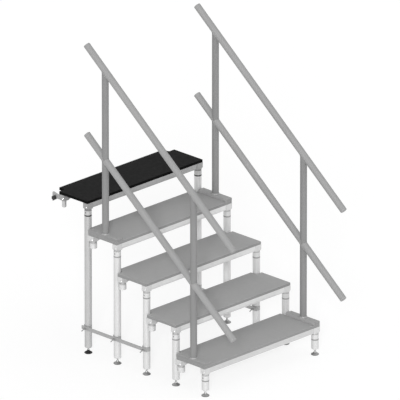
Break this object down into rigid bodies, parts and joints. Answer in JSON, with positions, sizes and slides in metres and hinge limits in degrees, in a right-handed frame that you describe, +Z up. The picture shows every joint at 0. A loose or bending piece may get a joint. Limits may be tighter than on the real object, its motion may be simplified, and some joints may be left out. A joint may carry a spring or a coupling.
{
  "type": "stage stairs",
  "caption": "Demountable stage stairs: separate treads on plug-in legs with levelling feet, sloping two-rail handrails on both sides, leg tie bars and couplers for the stage edge.",
  "frame": {"origin": "middle of the footprint, on the floor", "axes": "+Z up, +Y up the stairs towards the stage, +X to the right of someone climbing"},
  "size_m": [1.0356, 1.5534, 2.0191],
  "materials": {
    "black_deck": "fine-textured black film face, satin, sealed dark edges",
    "grey_deck": "mid-grey anti-slip film face, matt",
    "shoe_grey": "mid-grey powder coat, fine texture",
    "frame_aluminium": "satin mill finish extrusions and shot-blasted castings",
    "leg_aluminium": "satin anodised tube",
    "handrail_grey": "mid-grey powder coat, satin",
    "foot_steel": "zinc-plated steel, dull",
    "foot_black": "black coated steel, satin",
    "tie_zinc": "zinc-plated flat steel",
    "coupler_zinc": "zinc-plated steel",
    "knob_black": "black moulded plastic",
    "pin_steel": "bright turned steel"
  },
  "bodies": {
    "stairs": {"coupler_left": "coupler_zinc", "coupler_right": "coupler_zinc", "coupling_pin_left": "pin_steel", "coupling_pin_right": "pin_steel", "knee_rail_left_lower": "handrail_grey", "knee_rail_left_middle": "handrail_grey", "knee_rail_left_upper": "handrail_grey", "knee_rail_right_lower": "handrail_grey", "knee_rail_right_middle": "handrail_grey", "knee_rail_right_upper": "handrail_grey", "leg_left_1": "leg_aluminium", "leg_left_2": "leg_aluminium", "leg_left_3": "leg_aluminium", "leg_left_4": "leg_aluminium", "leg_left_5": "leg_aluminium", "leg_right_1": "leg_aluminium", "leg_right_2": "leg_aluminium", "leg_right_3": "leg_aluminium", "leg_right_4": "leg_aluminium", "leg_right_5": "leg_aluminium", "post_left_lower": "handrail_grey", "post_left_upper": "handrail_grey", "post_right_lower": "handrail_grey", "post_right_upper": "handrail_grey", "post_shoe_left_lower": "shoe_grey", "post_shoe_left_upper": "shoe_grey", "post_shoe_right_lower": "shoe_grey", "post_shoe_right_upper": "shoe_grey", "tie_bar_left": "tie_zinc", "tie_bar_right": "tie_zinc", "top_rail_left": "handrail_grey", "top_rail_right": "handrail_grey", "tread_board_1": "grey_deck", "tread_board_2": "grey_deck", "tread_board_3": "grey_deck", "tread_board_4": "grey_deck", "tread_board_5": "black_deck", "tread_frame_1": "frame_aluminium", "tread_frame_2": "frame_aluminium", "tread_frame_3": "frame_aluminium", "tread_frame_4": "frame_aluminium", "tread_frame_5": "frame_aluminium"},
    "foot_left_1": {"foot_left_1": "foot_steel"},
    "foot_left_2": {"foot_left_2": "foot_steel"},
    "foot_left_3": {"foot_left_3": "foot_steel"},
    "foot_left_4": {"foot_left_4": "foot_steel"},
    "foot_left_5": {"foot_left_5": "foot_black"},
    "foot_right_1": {"foot_right_1": "foot_steel"},
    "foot_right_2": {"foot_right_2": "foot_steel"},
    "foot_right_3": {"foot_right_3": "foot_steel"},
    "foot_right_4": {"foot_right_4": "foot_steel"},
    "foot_right_5": {"foot_right_5": "foot_black"},
    "tie_lever_left_3": {"tie_lever_left_3": "tie_zinc"},
    "tie_lever_left_4": {"tie_lever_left_4": "tie_zinc"},
    "tie_lever_left_5": {"tie_lever_left_5": "tie_zinc"},
    "tie_lever_right_3": {"tie_lever_right_3": "tie_zinc"},
    "tie_lever_right_4": {"tie_lever_right_4": "tie_zinc"},
    "tie_lever_right_5": {"tie_lever_right_5": "tie_zinc"},
    "coupler_knob_left": {"coupler_knob_left": "knob_black"},
    "coupler_knob_right": {"coupler_knob_right": "knob_black"}
  },
  "joints": [
    {"name": "foot_left_1_level", "type": "slide", "parent": "stairs", "child": "foot_left_1", "axis": [0, 0, -1], "range_m": [0, 0.04]},
    {"name": "foot_left_2_level", "type": "slide", "parent": "stairs", "child": "foot_left_2", "axis": [0, 0, -1], "range_m": [0, 0.04]},
    {"name": "foot_left_3_level", "type": "slide", "parent": "stairs", "child": "foot_left_3", "axis": [0, 0, -1], "range_m": [0, 0.04]},
    {"name": "foot_left_4_level", "type": "slide", "parent": "stairs", "child": "foot_left_4", "axis": [0, 0, -1], "range_m": [0, 0.04]},
    {"name": "foot_left_5_level", "type": "slide", "parent": "stairs", "child": "foot_left_5", "axis": [0, 0, -1], "range_m": [0, 0.04]},
    {"name": "foot_right_1_level", "type": "slide", "parent": "stairs", "child": "foot_right_1", "axis": [0, 0, -1], "range_m": [0, 0.04]},
    {"name": "foot_right_2_level", "type": "slide", "parent": "stairs", "child": "foot_right_2", "axis": [0, 0, -1], "range_m": [0, 0.04]},
    {"name": "foot_right_3_level", "type": "slide", "parent": "stairs", "child": "foot_right_3", "axis": [0, 0, -1], "range_m": [0, 0.04]},
    {"name": "foot_right_4_level", "type": "slide", "parent": "stairs", "child": "foot_right_4", "axis": [0, 0, -1], "range_m": [0, 0.04]},
    {"name": "foot_right_5_level", "type": "slide", "parent": "stairs", "child": "foot_right_5", "axis": [0, 0, -1], "range_m": [0, 0.04]},
    {"name": "tie_lever_left_3_hinge", "type": "hinge", "parent": "stairs", "child": "tie_lever_left_3", "pos_m": [-0.49427, -0.02226, 0.166], "axis": [0, 1, 0], "range_deg": [0, 100]},
    {"name": "tie_lever_left_4_hinge", "type": "hinge", "parent": "stairs", "child": "tie_lever_left_4", "pos_m": [-0.49427, 0.22774, 0.166], "axis": [0, 1, 0], "range_deg": [0, 100]},
    {"name": "tie_lever_left_5_hinge", "type": "hinge", "parent": "stairs", "child": "tie_lever_left_5", "pos_m": [-0.49427, 0.47774, 0.166], "axis": [0, 1, 0], "range_deg": [0, 100]},
    {"name": "tie_lever_right_3_hinge", "type": "hinge", "parent": "stairs", "child": "tie_lever_right_3", "pos_m": [0.45573, -0.02226, 0.166], "axis": [0, 1, 0], "range_deg": [0, 100]},
    {"name": "tie_lever_right_4_hinge", "type": "hinge", "parent": "stairs", "child": "tie_lever_right_4", "pos_m": [0.45573, 0.22774, 0.166], "axis": [0, 1, 0], "range_deg": [0, 100]},
    {"name": "tie_lever_right_5_hinge", "type": "hinge", "parent": "stairs", "child": "tie_lever_right_5", "pos_m": [0.45573, 0.47774, 0.166], "axis": [0, 1, 0], "range_deg": [0, 100]},
    {"name": "coupler_knob_left_turn", "type": "hinge", "parent": "stairs", "child": "coupler_knob_left", "pos_m": [-0.46332, 0.75574, 0.942], "axis": [1, 0, 0], "continuous": true},
    {"name": "coupler_knob_right_turn", "type": "hinge", "parent": "stairs", "child": "coupler_knob_right", "pos_m": [0.49898, 0.75574, 0.942], "axis": [1, 0, 0], "continuous": true}
  ]
}
